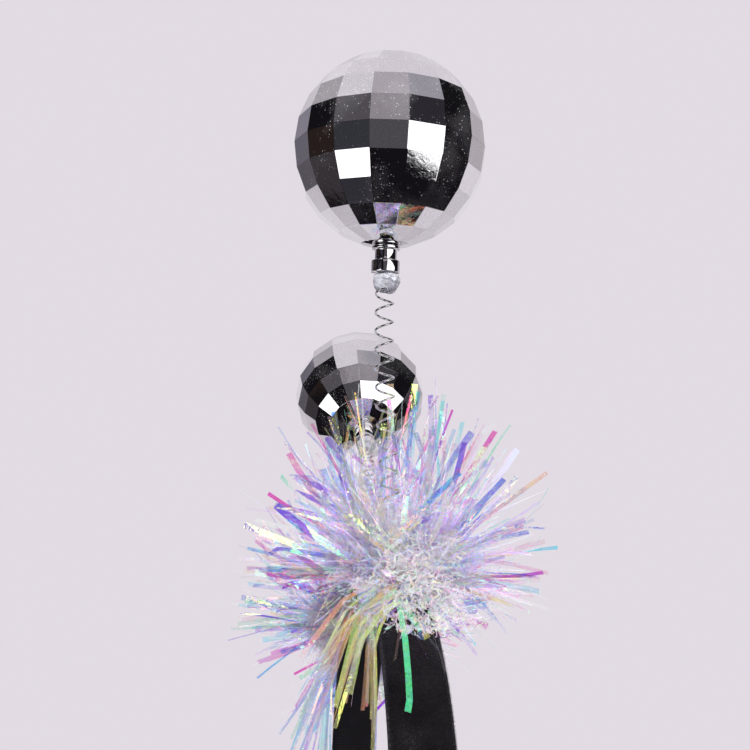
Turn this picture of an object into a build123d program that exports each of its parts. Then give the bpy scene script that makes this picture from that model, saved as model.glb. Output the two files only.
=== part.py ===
from build123d import *
import math
import os

# Party headband: a velvet-covered hoop with two tinsel pom-poms on its crown, and a faceted
# mirror ball bobbing on a coil spring out of each one. All sizes are in millimetres.
# Frame: the origin is the centre of the crown's arc, +Z points up through the crown,
# +X points to the wearer's left, and -Y points to the wearer's front.

# ---- driving dimensions ----
HEAD_R = 64.0           # inner radius of the crown, against the hair
BAND_WIDTH = 15.0       # width of the band, fore and aft
LINING_T = 0.6          # velvet-ribbon lining
CORE_T = 2.0            # plastic strip inside the velvet
COVER_T = 0.9           # velvet cover
EDGE_WRAP = 1.0         # the cover's thickness over the strip's edges and tips
GLUE_GAP = 0.05         # glue line between the band's layers
LEG_R = 200.0           # radius of a leg's inward curve, below the crown's half circle
LEG_DROP = 75.0         # how far the legs reach below the centre of the crown's arc
TIP_R = 5.0             # rounding of the band's tips, seen from the side of the head
FLEX_ANGLE = 75.0       # angle from the top at which a leg flexes
FLEX_GAP = 0.6          # gap in the band at the flex line

SPRING_ANGLE = 24.0     # angle from the top at which each spring stands on the crown
SPRING_OD = 6.2
WIRE_D = 0.7
PITCH = 5.8             # rise of one open turn
SPRING_LENGTH = 92.0    # from the band to the underside of the neck
FOOT_START = 1.0        # the wire's lower end
JOINTS = (12.0, 28.0, 44.0, 60.0)   # distances from the band at which the spring is divided
COIL_END = 85.3         # just under the upper glue
COIL_GAP = 0.12         # gap in height between the spring's stretches
OUT_LEAN = (11.3, 28.7)     # outward lean of a spring at its foot and top, sagging under its ball
FORE_LEAN = {"left": (-7.5, -1.1), "right": (5.9, 0.6)}     # rearward lean at its foot and top
FOOT_OFFSET = {"left": 2.8, "right": 0.3}   # how far behind the band's middle it was glued

BALL_R = 30.0           # to the corners of the facets
FACET_ROWS = 12         # from pole to pole
FACET_COLUMNS = 17
SHELL_INNER_R = 28.3
BALL_PHASE = {"left": 1.8, "right": 11.4}   # turn of the facet columns about the ball's axis
NECK_LENGTH = 8.0       # from the ball's lower pole to the neck's end
FLANGE_R = 4.5
FLANGE_END = 0.8        # lower faces of the flange and waist, below the ball's pole
WAIST_R = 3.5
WAIST_END = 4.2
NECK_END_R = 4.55
NECK_HOLE_R = 3.2       # hole in the lower shell for the neck
SPIGOT_R = 3.1          # the neck's upper end, inside that hole
SPIGOT_TOP = 26.8       # its upper face, below the ball's centre
SHELL_AT_HOLE = 29.65   # where the facets round the hole are, below the ball's centre
TOP_GLUE_H = 6.4        # how far the upper glue hangs below the neck
TOP_GLUE_SHARE = 0.7    # half the blob's full height, before the neck cuts it, against that
TOP_GLUE_REAR = 0.5     # the blob sits this far to the rear
TOP_GLUE_BULGE = 0.3    # and is this much longer fore and aft

POM_R = 47.0            # reach of a pom-pom's tinsel from the foot of its spring
POM_MARGIN = 5.0        # how far the well is cut past the tinsel
POM_GAP = 0.4           # between the two pom-poms, and between the tinsel and the band
SPRING_WELL = (6.5, 15.0)   # radius of the tinsel's well for the spring, at its foot and top
GLUE_R = 9.0            # lower glue mound
GLUE_H = 5.0
CORE_RING_R = 8.6       # ring of twisted garland wire
CORE_RING_WIRE = 1.0    # radius over the two wires twisted together
CORE_RING_H = 2.2       # its wire is set in the glue mound
NEST_MARGIN = 0.6       # room between the tinsel and what it is wound round

SIDES = {"left": 1, "right": -1}
CURVE_STEPS = 20        # steps in adding up a spring's centre line
SAME_SPOT = 0.01        # two corners nearer than this are one

# ---- worked-out sizes ----
CORE_IN = HEAD_R + LINING_T
CORE_OUT = CORE_IN + CORE_T
BAND_OUT = CORE_OUT + COVER_T
BAND_MID = (HEAD_R + BAND_OUT) / 2
COIL_R = (SPRING_OD - WIRE_D) / 2
LEG_ANGLE = math.degrees(math.asin(LEG_DROP / LEG_R))
FLEX_HALF = math.degrees(FLEX_GAP / 2 / BAND_MID)
NECK_TOP = BALL_R + NECK_LENGTH     # from the ball's centre down to the neck's end


def ring_sector(inner, outer, centre_x, from_angle, to_angle, half_width):
    """Part of a flat ring about Y, between two angles from the top, seen from the front."""
    def spot(radius, angle):
        a = math.radians(angle)
        return (centre_x + radius * math.sin(a), 0, radius * math.cos(a))
    middle = (from_angle + to_angle) / 2
    outline = [
        ThreePointArc(spot(outer, from_angle), spot(outer, middle), spot(outer, to_angle)),
        Line(spot(outer, to_angle), spot(inner, to_angle)),
        ThreePointArc(spot(inner, to_angle), spot(inner, middle), spot(inner, from_angle)),
        Line(spot(inner, from_angle), spot(outer, from_angle)),
    ]
    return extrude(make_face(outline), amount=half_width, dir=(0, 1, 0), both=True)


def band_layer(place, inner, outer, half_width, tip_back=0.0):
    """One layer of the band between two radii: the crown, or a leg with a rounded tip."""
    if place == "crown":
        edge = FLEX_ANGLE - FLEX_HALF
        return ring_sector(inner, outer, 0, -edge, edge, half_width)
    shift = HEAD_R - LEG_R
    tip_angle = 90 + LEG_ANGLE - math.degrees(tip_back / LEG_R)
    upper = ring_sector(inner, outer, 0, FLEX_ANGLE + FLEX_HALF, 90, half_width)
    lower = ring_sector(inner - shift, outer - shift, shift, 90, tip_angle, half_width)
    longest = outer - inner + SAME_SPOT
    tip_corners = lower.edges().filter_by(lambda edge: edge.length < longest)
    tip_corners = tip_corners.sort_by(Axis.Z)[:2]
    leg = upper + fillet(tip_corners, TIP_R - tip_back)
    return leg if place == "left" else mirror(leg, about=Plane.YZ)


def make_band(place):
    """Lining, plastic core and velvet cover of the crown or of one leg."""
    half = BAND_WIDTH / 2
    inset = EDGE_WRAP - GLUE_GAP
    core = band_layer(place, CORE_IN + GLUE_GAP, CORE_OUT - GLUE_GAP, half - EDGE_WRAP, EDGE_WRAP)
    room = band_layer(place, HEAD_R, CORE_OUT, half - inset, inset)
    cover = band_layer(place, CORE_IN, BAND_OUT, half) - room
    lining = band_layer(place, HEAD_R, CORE_IN - GLUE_GAP, half)
    return {"core": core, "cover": cover, "lining": lining}


def spring_direction(side, distance):
    """Which way a spring points at a distance from its foot: its lean changes evenly."""
    share = distance / SPRING_LENGTH
    out = math.radians(OUT_LEAN[0] * (1 - share) + OUT_LEAN[1] * share)
    fore = math.radians(FORE_LEAN[side][0] * (1 - share) + FORE_LEAN[side][1] * share)
    across = SIDES[side] * math.sin(out) * math.cos(fore)
    return Vector(across, math.sin(fore), math.cos(out) * math.cos(fore))


def spring_point(side, distance):
    """Where a spring's centre line is at a distance from its foot on the band."""
    a = math.radians(SPRING_ANGLE)
    across = SIDES[side] * BAND_OUT * math.sin(a)
    point = Vector(across, FOOT_OFFSET[side], BAND_OUT * math.cos(a))
    step = distance / CURVE_STEPS
    for k in range(CURVE_STEPS):
        point += spring_direction(side, (k + 0.5) * step) * step
    return point


def frame_along(origin, along):
    """A frame whose z lies along a direction and whose y points to the rear."""
    return Plane(origin=origin, x_dir=Vector(0, 1, 0).cross(along), z_dir=along)


def spring_frame(side, distance=0.0):
    """Frame on a spring's centre line, z along the spring."""
    return frame_along(spring_point(side, distance), spring_direction(side, distance))


def crown_frame(side):
    """Frame on the band at the foot of a spring, z square to the crown."""
    a = math.radians(SPRING_ANGLE)
    return frame_along(spring_point(side, 0), Vector(SIDES[side] * math.sin(a), 0, math.cos(a)))


def ball_frame(side):
    """Frame at a ball's centre, z along the ball's axis and away from its neck."""
    top = spring_frame(side, SPRING_LENGTH)
    return frame_along(top.origin + top.z_dir * NECK_TOP, top.z_dir)


def crown_cylinder(radius):
    """Everything inside a radius of the crown's arc."""
    return Rot(90, 0, 0) * Cylinder(radius, 4 * POM_R)


def coil(side, start, end):
    """A stretch of a spring's wire between two distances from its foot."""
    path = Helix(PITCH, end - start - COIL_GAP, COIL_R)
    wire = sweep(Plane(origin=path @ 0, z_dir=path % 0) * Circle(WIRE_D / 2), path, is_frenet=True)
    low = spring_point(side, start)
    frame = frame_along(low, (spring_point(side, end) - low).normalized())
    return frame.location * Rot(0, 0, 360 * start / PITCH) * wire


def make_spring(side):
    """The spring's stretches, from its foot in the glue to its end in the upper glue."""
    ends = [FOOT_START, *JOINTS, COIL_END, SPRING_LENGTH - WIRE_D]
    names = ["foot", "coil_1", "coil_2", "coil_3", "coil_4", "top"]
    return {name: coil(side, start, end) for name, start, end in zip(names, ends, ends[1:])}


def make_lower_glue(side):
    """Glue mound on the crown, round the foot of the spring."""
    mound = crown_frame(side).location * scale(Sphere(1), by=(GLUE_R, GLUE_R, GLUE_H))
    return mound - crown_cylinder(BAND_OUT + GLUE_GAP)


def make_garland_core(side):
    """Twisted wire of the garland, closed into a ring round the spring."""
    ring = Torus(CORE_RING_R, CORE_RING_WIRE)
    return crown_frame(side).location * Pos(0, 0, CORE_RING_H) * ring


def make_tinsel(side):
    """Outer shape of a pom-pom's tinsel, sitting on the band, with a well for the spring."""
    crown = crown_frame(side)
    reach = POM_R + POM_MARGIN
    foot = spring_point(side, 0)
    spring = frame_along(foot, (spring_point(side, reach) - foot).normalized())
    well = spring.location * Pos(0, 0, reach / 2) * Cone(*SPRING_WELL, reach)
    nest_r = CORE_RING_R + CORE_RING_WIRE + NEST_MARGIN
    nest = crown.location * Cylinder(nest_r, 2 * (GLUE_H + NEST_MARGIN))
    half_space = Box(2 * POM_R, 4 * POM_R, 4 * POM_R)
    half_space = Pos(SIDES[side] * (POM_GAP / 2 + POM_R), 0, HEAD_R) * half_space
    tinsel = (crown.location * Sphere(POM_R) - (well + nest)) & half_space
    return tinsel - crown_cylinder(BAND_OUT + POM_GAP)


def facet_corner(row, column, phase):
    """A corner of the ball's facets, row 0 at the neck's pole."""
    up = math.radians(-90 + 180 * row / FACET_ROWS)
    turn = math.radians(phase + 360 * column / FACET_COLUMNS)
    flat = BALL_R * math.cos(up)
    return Vector(flat * math.cos(turn), flat * math.sin(turn), BALL_R * math.sin(up))


def facet(row, column, phase):
    """One flat facet: a triangle at a pole, elsewhere a panel with four corners."""
    corners = []
    for up, along in ((row, column), (row, column + 1), (row + 1, column + 1), (row + 1, column)):
        if up == 0 or up == FACET_ROWS:
            corner = facet_corner(up, 0, phase)
        else:
            corner = facet_corner(up, along, phase)
        if not corners or (corner - corners[-1]).length > SAME_SPOT:
            corners.append(corner)
    if (corners[0] - corners[-1]).length < SAME_SPOT:
        corners.pop()
    return Face(Wire.make_polygon(corners, close=True))


def make_half_shell(side, half):
    """One moulded half of the mirror ball: flat facets outside, a smooth hollow inside."""
    phase = BALL_PHASE[side]
    middle = FACET_ROWS // 2
    rows = range(middle) if half == "lower" else range(middle, FACET_ROWS)
    faces = [facet(row, column, phase) for row in rows for column in range(FACET_COLUMNS)]
    rim = [facet_corner(middle, column, phase) for column in range(FACET_COLUMNS)]
    faces.append(Face(Wire.make_polygon(rim, close=True)))
    shell = Solid(Shell(faces)) - Sphere(SHELL_INNER_R)
    if half == "lower":
        shell = shell - Pos(0, 0, -BALL_R) * Cylinder(NECK_HOLE_R, BALL_R)
    return ball_frame(side).location * shell


def make_neck(side):
    """Stepped stem: a spigot in the ball, a flange, a waist and a wider end."""
    faces = [SPIGOT_TOP, SHELL_AT_HOLE, BALL_R + FLANGE_END, BALL_R + WAIST_END, NECK_TOP]
    radii = [SPIGOT_R, FLANGE_R, WAIST_R, NECK_END_R]
    neck = Part()
    for radius, top, bottom in zip(radii, faces, faces[1:]):
        neck += Pos(0, 0, -(top + bottom) / 2) * Cylinder(radius, bottom - top)
    return ball_frame(side).location * neck


def make_upper_glue(side):
    """Glue blob under the neck, round the spring's last turn, thicker to the rear."""
    half_height = TOP_GLUE_SHARE * TOP_GLUE_H
    blob = scale(Sphere(1), by=(NECK_END_R, NECK_END_R + TOP_GLUE_BULGE, half_height))
    blob = Pos(0, TOP_GLUE_REAR, half_height - TOP_GLUE_H - NECK_TOP) * blob
    above = Pos(0, 0, BALL_R - NECK_TOP - GLUE_GAP) * Box(2 * BALL_R, 2 * BALL_R, 2 * BALL_R)
    return ball_frame(side).location * (blob - above)


def write(name, shape):
    """Write one node's STEP file."""
    export_step(shape, f"parts/{name}.step")


os.makedirs("parts", exist_ok=True)
for place in ("crown", "left", "right"):
    stretch = "crown" if place == "crown" else f"{place}_leg"
    for layer, solid in make_band(place).items():
        write(f"{stretch}_{layer}", solid)
for side in SIDES:
    write(f"{side}_base_glue", make_lower_glue(side))
    write(f"{side}_garland_core", make_garland_core(side))
    write(f"{side}_tinsel", make_tinsel(side))
    for stretch, solid in make_spring(side).items():
        write(f"{side}_spring_{stretch}", solid)
    write(f"{side}_top_glue", make_upper_glue(side))
    write(f"{side}_neck", make_neck(side))
    write(f"{side}_ball_lower", make_half_shell(side, "lower"))
    write(f"{side}_ball_upper", make_half_shell(side, "upper"))
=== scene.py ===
import random
from math import asin, atan2, cos, degrees, hypot, pi, radians, sin, sqrt, tan, tau

import bpy
from mathutils import Matrix, Vector, noise


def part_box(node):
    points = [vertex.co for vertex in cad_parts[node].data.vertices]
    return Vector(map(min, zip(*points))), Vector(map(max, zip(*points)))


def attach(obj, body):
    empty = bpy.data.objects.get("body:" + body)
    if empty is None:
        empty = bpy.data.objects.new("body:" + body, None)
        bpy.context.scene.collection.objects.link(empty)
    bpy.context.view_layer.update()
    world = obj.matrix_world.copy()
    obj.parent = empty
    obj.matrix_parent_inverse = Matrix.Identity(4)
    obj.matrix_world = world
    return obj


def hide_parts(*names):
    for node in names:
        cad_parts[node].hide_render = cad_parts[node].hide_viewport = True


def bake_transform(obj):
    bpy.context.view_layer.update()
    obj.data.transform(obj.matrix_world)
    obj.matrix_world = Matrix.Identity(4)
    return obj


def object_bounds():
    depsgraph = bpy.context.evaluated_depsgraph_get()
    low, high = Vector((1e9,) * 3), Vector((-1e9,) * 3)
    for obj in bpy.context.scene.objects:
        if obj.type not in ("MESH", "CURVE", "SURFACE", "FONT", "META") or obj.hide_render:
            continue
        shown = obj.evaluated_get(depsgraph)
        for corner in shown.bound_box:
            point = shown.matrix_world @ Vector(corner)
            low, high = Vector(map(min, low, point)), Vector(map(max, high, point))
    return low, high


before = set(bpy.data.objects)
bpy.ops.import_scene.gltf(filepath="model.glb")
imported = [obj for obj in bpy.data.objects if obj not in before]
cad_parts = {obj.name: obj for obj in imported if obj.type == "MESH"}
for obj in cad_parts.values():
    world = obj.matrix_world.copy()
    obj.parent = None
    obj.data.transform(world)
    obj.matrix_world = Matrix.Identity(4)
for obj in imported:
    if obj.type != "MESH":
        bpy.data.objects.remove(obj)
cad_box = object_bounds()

# Looks for the party headband: velvet hoop, iridescent tinsel pom-poms, coil springs and
# faceted mirror balls. Lengths are in metres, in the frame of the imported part.

MM = 0.001
UP = Vector((0, 0, 1))
SIDES = {"left": 1, "right": -1}

# ---- the hoop, as in the part's source ----
HEAD_R = 64.0 * MM
BAND_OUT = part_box("crown_cover")[1].z
BAND_WIDTH = 2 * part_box("crown_cover")[1].y
LINING_T = 0.6 * MM
CORE_T = 2.0 * MM
COVER_SIDE = 0.95 * MM  # thickness of the cover over the band's edges
GLUE_GAP = 0.05 * MM
LEG_R = 200.0 * MM
LEG_DROP = 75.0 * MM
TIP_R = 5.0 * MM
FLEX_ANGLE = 75.0  # where a leg flexes, in degrees from the top
CORE_IN = HEAD_R + LINING_T
CORE_OUT = CORE_IN + CORE_T
LEG_ANGLE = degrees(asin(LEG_DROP / LEG_R))
TIP_ANGLE = 90 + LEG_ANGLE

# ---- the hoop's cloth ----
FLEX_REACH = 7.0  # the crown's cloth stops this many degrees short of the flex, where the legs' cloth starts
CROWN_END = FLEX_ANGLE - FLEX_REACH
COVER_LUMPS = 0.09 * MM
LINING_LUMPS = 0.03 * MM
BAND_STEP = 1.0  # degrees between the cloth's cross-sections
PILE_FIBRES = (("crown", 16000), ("left_leg", 9000), ("right_leg", 9000))
PILE_LENGTHS = (0.25, 0.6)  # millimetres
PILE_BREADTH = 0.035 * MM
PILE_LEAN = 0.4  # how unevenly the fibres stand
PILE_EDGE_SHARE = 0.45  # share of the fibres that are kept for the band's edges

# ---- the springs ----
SPRING_ANGLE = 24.0
SPRING_OD = 6.2 * MM
WIRE_D = 0.7 * MM
PITCH = 5.8 * MM
SPRING_LENGTH = 92.0 * MM
OUT_LEAN = (11.3, 28.7)
FORE_LEAN = {"left": (-7.5, -1.1), "right": (5.9, 0.6)}
FOOT_OFFSET = {"left": 2.8 * MM, "right": 0.3 * MM}
CURVE_STEPS = 20
COIL_R = (SPRING_OD - WIRE_D) / 2
# Where the wire is cut into pieces, and distances given for where each piece would bend; the script
# works out points there but uses them for nothing.
WIRE_CUTS = [s * MM for s in (1.0, 20.0, 36.0, 52.0, 68.0, 91.3)]
BEND_STARTS = [s * MM for s in (4.0, 20.0, 36.0, 52.0, 68.0)]
BEND_ENDS = [s * MM for s in (20.0, 36.0, 52.0, 68.0, 85.3)]
TURN_STEPS = 28  # points in one turn of the wire
WIRE_SIDES = 10

# ---- the balls ----
BALL_R = 30.0 * MM
FACET_ROWS = 12
FACET_COLUMNS = 17
SHELL_INNER_R = 28.3 * MM
BALL_PHASE = {"left": 1.8, "right": 11.4}
NECK_TOP = 38.0 * MM  # from the ball's centre down to the neck's end
NECK_HOLE_R = 3.2 * MM
# The stem's spigot, flange, waist and end: radius, and how far its top and bottom are from the
# ball's centre.
NECK_STEPS = [[size * MM for size in step] for step in (
    (3.1, 26.8, 29.65), (4.5, 29.65, 30.8), (3.5, 30.8, 34.2), (4.55, 34.2, 38.0))]
NECK_ROUNDING = 0.35 * MM
NECK_SIDES = 48
TOP_GLUE_H = 6.4 * MM
TOP_GLUE_R = (2.9 * MM, 1.9 * MM)  # its least radius, and what its upper end adds
FACET_EDGE = 0.13 * MM  # rounding of the edges between facets
SEAM_GAP = 0.03 * MM  # half the parting line between the two half shells

# ---- the pom-poms ----
GLUE_R = 9.0 * MM
GLUE_H = 5.0 * MM
GLUE_LUMPS = 0.12  # shares of its size, here and for the creases
GLUE_LUMP_SCALE = 330.0
GLUE_CREASES = 0.10
CORE_RING_R = 8.6 * MM
CORE_RING_H = 2.2 * MM
STRAND_R = 0.42 * MM  # each of the garland's two wires
GARLAND_TWISTS = 18
POM_R = 47.0 * MM
WELL_R = (4.8 * MM, 17.0 * MM)  # the room left round the spring, at its foot and at the rim
TINSEL_GAP = 0.6 * MM  # between the tinsel and the band
POM_REACH = 47.5 * MM  # of the longest strips, from the foot of the spring
LOWEST_HEADING = -0.55  # strips leave no lower than this, against the crown's upright
UPWARD_GAIN = 0.25  # how much further the strips reach straight up
BUNDLES = 300  # directions that the strips of a pom-pom gather in
BUNDLE_SPREAD = 0.18
BOLD_STRIPS = 520  # in each pom-pom
BOLD_WIDTHS = (0.9, 1.2, 1.4, 1.5, 1.7, 1.9, 2.1)  # millimetres, as are all the widths below
THIN_STRIPS = 290
THIN_WIDTHS = (0.2, 0.35, 0.5, 0.7)
STRIP_STEPS = 8
STRIP_SHARES = [k / STRIP_STEPS for k in range(STRIP_STEPS + 1)]
KINKED_SHARE = 0.3
# Shares of the strips, added up, and how strong their colour is: pale, middling and vivid.
VIVIDNESS = ((0.18, (0.1, 0.4)), (0.68, (0.45, 0.85)), (1.01, (1.0, 1.2)))
COLOUR_FROM = 4.0 * MM  # a strip's colour grows between these distances from the foot
COLOUR_TO = 18.0 * MM
HANGING_STRIPS = 30  # in each pom-pom, over the band's front edge
HANGING_FROM = (34, 50)  # degrees from the top where they start
HANGING_TO = (58, 78)  # and where they end
HANGING_WIDTHS = (0.5, 1.8)
# One strip lies down the leg: angles from the top, places across and lifts in millimetres.
LEG_STRIP = [(28, -5.0, 4.0), (40, -2.6, 3.0), (50, -1.8, 1.6), (58, -1.8, 0.9), (66, -2.2, 0.8),
             (72, -2.6, 0.9), (74.5, -3.4, 1.4)]
CRUMPLED_BITS = 14000  # in each pom-pom
CRUMPLE_FROM = 4.0 * MM
CRUMPLE_TO = 20.0 * MM
DROOP_SHARE = 0.16  # share of the crumpled bits that lie down the band
DROOP_GAIN = 1.5  # how much further the crumple reaches where it lies down the band
CRUMPLE_LIMIT = 34.0 * MM
CRUMPLE_STRAY = 0.12  # share of the crumpled bits that lie further out
STRAY_REACH = (1.2, 1.6)  # and how many times as far
CRUMPLE_STEP = (0.5, 1.4)  # millimetres between a bit's folds
CRUMPLE_WIDTHS = (0.25, 0.65)
CRUMPLE_STEPS = 4
# The crumple's places in the film's cycle of colours.
CRUMPLE_ORDERS = (0.0, 0.02, 0.05, 0.12, 0.22, 0.34, 0.45, 0.66, 0.8, 0.88)

# ======== small helpers ========

def add(tree, kind, inputs=None, **settings):
    """Add a shader node, with its settings and with its inputs set or plugged in."""
    made = tree.nodes.new(f"ShaderNode{kind}")
    for key, value in settings.items():
        setattr(made, key, value)
    for key, value in (inputs or {}).items():
        if isinstance(value, bpy.types.NodeSocket):
            tree.links.new(value, made.inputs[key])
        else:
            made.inputs[key].default_value = value
    return made


def ramp(tree, factor, stops):
    """A colour ramp from (position, colour) pairs."""
    made = add(tree, "ValToRGB", {"Fac": factor})
    elements = made.color_ramp.elements
    while len(elements) < len(stops):
        elements.new(0.5)
    for element, (position, colour) in zip(elements, stops):
        element.position = position
        element.color = (*colour, 1.0)
    return made.outputs["Color"]


def new_material(name):
    """An empty node material, its node tree, and each point's place on its piece."""
    made = bpy.data.materials.new(name)
    made.use_nodes = True
    tree = made.node_tree
    tree.nodes.clear()
    return made, tree, add(tree, "TexCoord").outputs["Object"]


def finish_material(made, shader):
    """Plug a shader into a material's output, and give the material back."""
    add(made.node_tree, "OutputMaterial", {"Surface": shader.outputs[0]})
    return made


def surfaced(made, inputs):
    """Give a material one principled surface, and give the material back."""
    return finish_material(made, add(made.node_tree, "BsdfPrincipled", inputs))


def noise_at(tree, where, scale, detail, distortion=0.0):
    return add(tree, "TexNoise", {"Vector": where, "Scale": scale, "Detail": detail,
                                            "Distortion": distortion}).outputs["Fac"]


def cells_at(tree, where, scale):
    return add(tree, "TexVoronoi", {"Vector": where, "Scale": scale})


def math_node(tree, operation, *values):
    return add(tree, "Math", dict(enumerate(values)), operation=operation).outputs[0]


def rescale(tree, value, low, high, to_low=0.0, to_high=1.0):
    """Stretch a value's range, and cut off what falls outside it."""
    return add(tree, "MapRange", {"Value": value, "From Min": low, "From Max": high,
                                            "To Min": to_low, "To Max": to_high}).outputs[0]


def mix_colour(tree, factor, below, above, blend="MIX"):
    made = add(tree, "Mix", {0: factor}, data_type="RGBA", blend_type=blend)
    for socket, value in ((made.inputs[6], below), (made.inputs[7], above)):
        if isinstance(value, bpy.types.NodeSocket):
            tree.links.new(value, socket)
        else:
            socket.default_value = (*value, 1.0)
    return made.outputs[2]


def mix_shader(tree, share, first, second):
    return add(tree, "MixShader", {0: share, 1: first.outputs[0], 2: second.outputs[0]})


def bumped(tree, height, strength, distance):
    return add(tree, "Bump", {"Height": height, "Strength": strength,
                                        "Distance": distance}).outputs[0]


def new_piece(name, points, faces, material, smooth=True):
    """A mesh object from points and faces, in the row frame."""
    mesh = bpy.data.meshes.new(name)
    mesh.from_pydata([tuple(p) for p in points], [], faces)
    mesh.polygons.foreach_set("use_smooth", [smooth] * len(mesh.polygons))
    mesh.materials.append(material)
    mesh.update()
    piece = bpy.data.objects.new(name, mesh)
    bpy.context.scene.collection.objects.link(piece)
    return piece


def grid_faces(rows, columns, closed=True, start=0):
    """Quads between rows of points; closed rows run round to their first point."""
    faces = []
    for row in range(rows - 1):
        for column in range(columns if closed else columns - 1):
            after = (column + 1) % columns
            low, high = start + row * columns, start + (row + 1) * columns
            faces.append((low + column, low + after, high + after, high + column))
    return faces


def lids(rows, columns):
    """The two end faces of a closed grid of points."""
    last = (rows - 1) * columns
    return [tuple(reversed(range(columns))), tuple(range(last, last + columns))]


def flipped(faces):
    """The same faces, looking the other way."""
    return [tuple(reversed(face)) for face in faces]


def ring_spot(flat, turn, height):
    """A point at a distance from the z axis, a turn round it and a height along it."""
    return Vector((flat * cos(turn), flat * sin(turn), height))


def heading_at(path, k):
    """The direction of a path at one of its points, from the points on each side."""
    return (path[min(k + 1, len(path) - 1)] - path[max(k - 1, 0)]).normalized()


def pushed_out(spot, radius):
    """A point moved straight out from the hoop's axis, where it was nearer than a radius."""
    flat = hypot(spot.x, spot.z)
    if flat >= radius:
        return spot
    return Vector((spot.x * radius / flat, spot.y, spot.z * radius / flat))


def tube(path, radius, sides):
    """Points and faces of a round tube along a path, closed at both ends."""
    points = []
    side_on = (path[1] - path[0]).orthogonal().normalized()
    for k, spot in enumerate(path):
        along = heading_at(path, k)
        side_on = (side_on - along * side_on.dot(along)).normalized()
        other = along.cross(side_on)
        for j in range(sides):
            a = tau * j / sides
            points.append(spot + (side_on * cos(a) + other * sin(a)) * radius)
    return points, grid_faces(len(path), sides) + lids(len(path), sides)


def join(parts):
    """Several (points, faces) put together as one."""
    points, faces = [], []
    for more_points, more_faces in parts:
        shift = len(points)
        points += more_points
        faces += [tuple(shift + k for k in face) for face in more_faces]
    return points, faces


# ======== the part's own geometry ========

def spring_direction(side, distance):
    """Which way a spring points at a distance from its foot."""
    share = distance / SPRING_LENGTH
    out = radians(OUT_LEAN[0] * (1 - share) + OUT_LEAN[1] * share)
    fore = radians(FORE_LEAN[side][0] * (1 - share) + FORE_LEAN[side][1] * share)
    across = SIDES[side] * sin(out) * cos(fore)
    return Vector((across, sin(fore), cos(out) * cos(fore)))


def spring_point(side, distance):
    """Where a spring's centre line is at a distance from its foot on the band."""
    a = radians(SPRING_ANGLE)
    across = SIDES[side] * BAND_OUT * sin(a)
    point = Vector((across, FOOT_OFFSET[side], BAND_OUT * cos(a)))
    step = distance / CURVE_STEPS
    for k in range(CURVE_STEPS):
        point += spring_direction(side, (k + 0.5) * step) * step
    return point


def frame_along(origin, along):
    """A matrix whose z lies along a direction and whose y points to the rear."""
    z = along.normalized()
    x = Vector((0, 1, 0)).cross(z).normalized()
    y = z.cross(x)
    columns = Matrix((x, y, z)).transposed().to_4x4()
    columns.translation = origin
    return columns


def spring_frame(side, distance):
    return frame_along(spring_point(side, distance), spring_direction(side, distance))


def crown_frame(side):
    """Frame on the band at the foot of a spring, z square to the crown."""
    a = radians(SPRING_ANGLE)
    return frame_along(spring_point(side, 0), Vector((SIDES[side] * sin(a), 0, cos(a))))


def ball_frame(side):
    """Frame at a ball's centre, z away from its neck."""
    top = spring_frame(side, SPRING_LENGTH)
    z = top.to_3x3() @ UP
    return frame_along(top.translation + z * NECK_TOP, z)


def band_spot(radius, angle, across, side=1):
    """A point of the band: angle from the top, down the crown and on down the leg."""
    a = radians(angle)
    shift = HEAD_R - LEG_R if angle > 90 else 0.0
    x = shift + (radius - shift) * sin(a)
    return Vector((side * x, across, (radius - shift) * cos(a)))


# ======== materials ========

def velvet_material():
    """Black velvet: a deep matte pile that catches a little light at its grazing edges."""
    made, tree, where = new_material("velvet")
    patches = noise_at(tree, where, 120.0, 3.0)
    pile = noise_at(tree, where, 2600.0, 2.0)
    tufts = cells_at(tree, where, 3200.0).outputs["Distance"]
    colour = ramp(tree, math_node(tree, "MULTIPLY", patches, pile), [
        (0.10, (0.0012, 0.0011, 0.0013)),
        (0.32, (0.0042, 0.0038, 0.0043)),
        (0.52, (0.016, 0.014, 0.016))])
    height = math_node(tree, "ADD", pile, tufts)
    return surfaced(made, {
        "Base Color": colour, "Roughness": 0.95, "Specular IOR Level": 0.12,
        "Sheen Weight": 0.10, "Sheen Roughness": 0.35, "Sheen Tint": (0.55, 0.52, 0.58, 1.0),
        "Normal": bumped(tree, height, 0.8, 0.0003)})


def ribbon_material():
    """Back of the velvet ribbon: a fine plain weave in near-black thread."""
    made, tree, _ = new_material("ribbon_weave")
    where = add(tree, "Attribute", attribute_name="band_place").outputs["Vector"]
    threads = [add(tree, "TexWave", {
        "Vector": where, "Scale": 0.32, "Distortion": 0.4, "Detail": 1.0, "Detail Scale": 2.0},
        bands_direction=axis).outputs["Fac"] for axis in "XY"]
    weave = math_node(tree, "MULTIPLY", *threads)
    shade = math_node(tree, "MULTIPLY", weave, noise_at(tree, where, 0.15, 4.0))
    colour = ramp(tree, shade, [
        (0.0, (0.002, 0.002, 0.002)), (0.35, (0.006, 0.005, 0.006)), (0.8, (0.016, 0.015, 0.017))])
    return surfaced(made, {
        "Base Color": colour, "Roughness": 0.85, "Specular IOR Level": 0.2, "Sheen Weight": 0.08,
        "Sheen Roughness": 0.4, "Normal": bumped(tree, weave, 0.7, 0.0001)})


def hoop_plastic_material():
    """Black moulded strip inside the cloth."""
    made, tree, where = new_material("hoop_plastic")
    grain = noise_at(tree, where, 900.0, 4.0)
    colour = ramp(tree, grain, [(0.3, (0.012, 0.012, 0.013)), (0.7, (0.030, 0.030, 0.032))])
    return surfaced(made, {
        "Base Color": colour, "Roughness": rescale(tree, grain, 0.0, 1.0, 0.35, 0.6),
        "Normal": bumped(tree, grain, 0.25, 0.0001)})


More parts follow.
